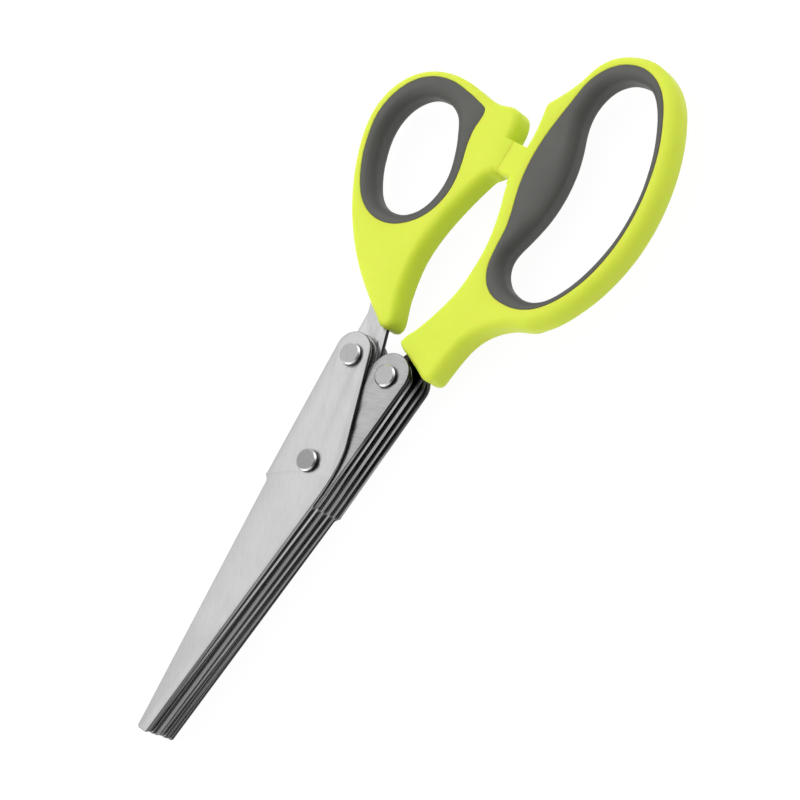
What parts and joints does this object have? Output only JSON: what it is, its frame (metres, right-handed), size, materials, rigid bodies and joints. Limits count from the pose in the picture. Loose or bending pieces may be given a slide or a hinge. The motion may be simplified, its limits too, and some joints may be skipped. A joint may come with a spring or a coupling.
{
  "type": "herb scissors",
  "caption": "Kitchen herb scissors with two interleaved stacks of thin steel blades on one pivot and loop handles with soft grips.",
  "frame": {"origin": "on the pivot axis, in the plane that the back rivet heads rest on", "axes": "+Y along the scissors from the blade tips to the handles, +Z along the pivot axis out of the front face, +X towards the finger loop"},
  "size_m": [0.0851, 0.1997, 0.0153],
  "materials": {
    "blade_steel": "fine straight brushing",
    "spacer_steel": "stamped, satin",
    "rivet_steel": "satin, slightly rough heads",
    "handle_plastic": "lime, satin moulded",
    "soft_grip": "grey, matte soft-touch"
  },
  "bodies": {
    "finger_half": {"finger_blade_1": "blade_steel", "finger_blade_2": "blade_steel", "finger_blade_3": "blade_steel", "finger_blade_4": "blade_steel", "finger_blade_5": "blade_steel", "finger_spacer_1": "spacer_steel", "finger_spacer_2": "spacer_steel", "finger_spacer_3": "spacer_steel", "finger_spacer_4": "spacer_steel", "finger_rivet": "rivet_steel", "pivot_rivet": "rivet_steel", "finger_handle": "handle_plastic", "finger_soft_grip": "soft_grip"},
    "thumb_half": {"thumb_blade_1": "blade_steel", "thumb_blade_2": "blade_steel", "thumb_blade_3": "blade_steel", "thumb_blade_4": "blade_steel", "thumb_blade_5": "blade_steel", "thumb_spacer_1": "spacer_steel", "thumb_spacer_2": "spacer_steel", "thumb_spacer_3": "spacer_steel", "thumb_spacer_4": "spacer_steel", "thumb_rivet": "rivet_steel", "thumb_handle": "handle_plastic", "thumb_soft_grip": "soft_grip"}
  },
  "joints": [
    {"name": "blade_pivot", "type": "hinge", "parent": "finger_half", "child": "thumb_half", "pos_m": [0, 0, 0.00765], "axis": [0, 0, 1], "range_deg": [0, 45]}
  ]
}
